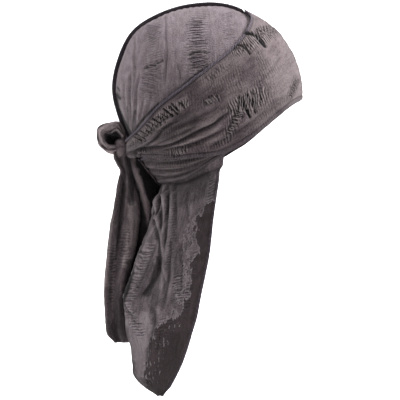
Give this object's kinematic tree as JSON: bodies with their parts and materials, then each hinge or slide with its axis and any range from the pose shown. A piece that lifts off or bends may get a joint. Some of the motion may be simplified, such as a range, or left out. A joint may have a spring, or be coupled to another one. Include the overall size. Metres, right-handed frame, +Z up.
{
  "type": "durag",
  "caption": "Tied cloth durag: crown panels with a raised centre seam, wide crossed ties, rear knot and loop, hanging tie ends and a pointed cape down the back.",
  "frame": {"origin": "inside the top of the crown, where the top of a head touches it", "axes": "+X forward past the brow, +Y to the wearer's left, +Z up"},
  "size_m": [0.216, 0.1624, 0.4138],
  "materials": {
    "crown_knit": "distressed ladder knit, soft mauve grey over dark",
    "seam_overlock": "overlocked raised seam, near black",
    "tie_knit": "distressed ladder knit, charcoal mauve, pleated",
    "cape_knit": "double layer knit, worn light areas over a smooth dark ground"
  },
  "bodies": {
    "root": {"crown_right": "crown_knit", "crown_left": "crown_knit", "centre_seam": "seam_overlock", "tie_right": "tie_knit", "tie_left": "tie_knit", "knot": "tie_knit", "knot_loop": "tie_knit", "tie_end_back": "tie_knit", "tie_end_side": "tie_knit", "cape": "cape_knit"}
  },
  "joints": []
}
